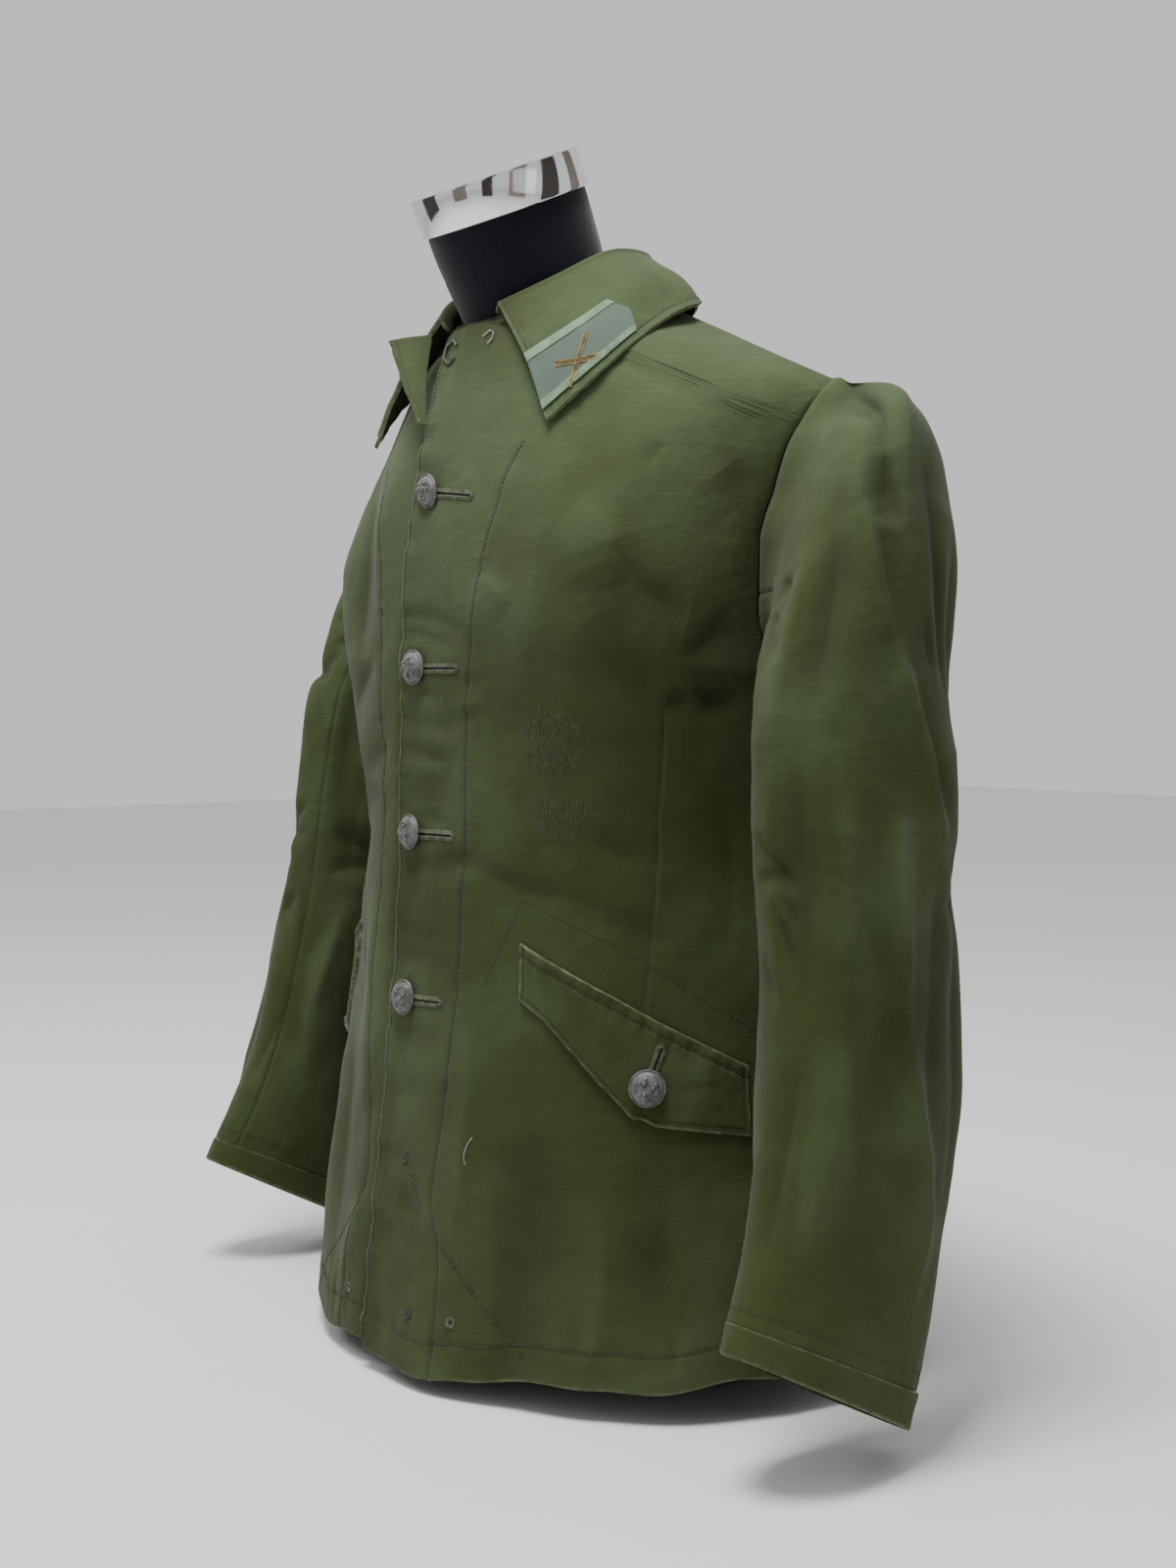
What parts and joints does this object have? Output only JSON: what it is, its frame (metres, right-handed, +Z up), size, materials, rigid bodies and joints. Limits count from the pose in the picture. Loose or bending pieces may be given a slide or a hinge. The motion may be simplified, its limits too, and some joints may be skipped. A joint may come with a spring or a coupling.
{
  "type": "field jacket on a limbless dress form",
  "caption": "Worn green cotton field jacket with four buttons, slanted pocket flaps and collar patches, on a limbless black dress form with a bright neck cap.",
  "frame": {"origin": "middle of the object's box, on the plane that the dress form stands on", "axes": "+Z up; the jacket's front faces -Y; +X is the jacket's own left side"},
  "size_m": [0.6624, 0.3403, 0.7915],
  "materials": {
    "jacket_cloth": "faded cotton twill",
    "patch_cloth": "grey-green wool cloth",
    "braid": "pale green woven braid",
    "button_metal": "grey painted button, worn",
    "form_jersey": "black stretched jersey",
    "cap_chrome": "bright chrome"
  },
  "bodies": {
    "root": {"dress_form": "form_jersey", "neck_cap": "cap_chrome", "back": "jacket_cloth", "front_left": "jacket_cloth", "front_right": "jacket_cloth", "lapel_right": "jacket_cloth", "sleeve_left_upper": "jacket_cloth", "sleeve_left_under": "jacket_cloth", "sleeve_right_upper": "jacket_cloth", "sleeve_right_under": "jacket_cloth", "cuff_left": "jacket_cloth", "cuff_right": "jacket_cloth", "collar": "jacket_cloth", "patch_left": "patch_cloth", "patch_right": "patch_cloth", "braid_left_top": "braid", "braid_left_bottom": "braid", "braid_right_top": "braid", "braid_right_bottom": "braid", "flap_left": "jacket_cloth", "flap_right": "jacket_cloth", "button_1": "button_metal", "button_2": "button_metal", "button_3": "button_metal", "button_4": "button_metal", "button_flap_left": "button_metal", "button_flap_right": "button_metal"}
  },
  "joints": []
}
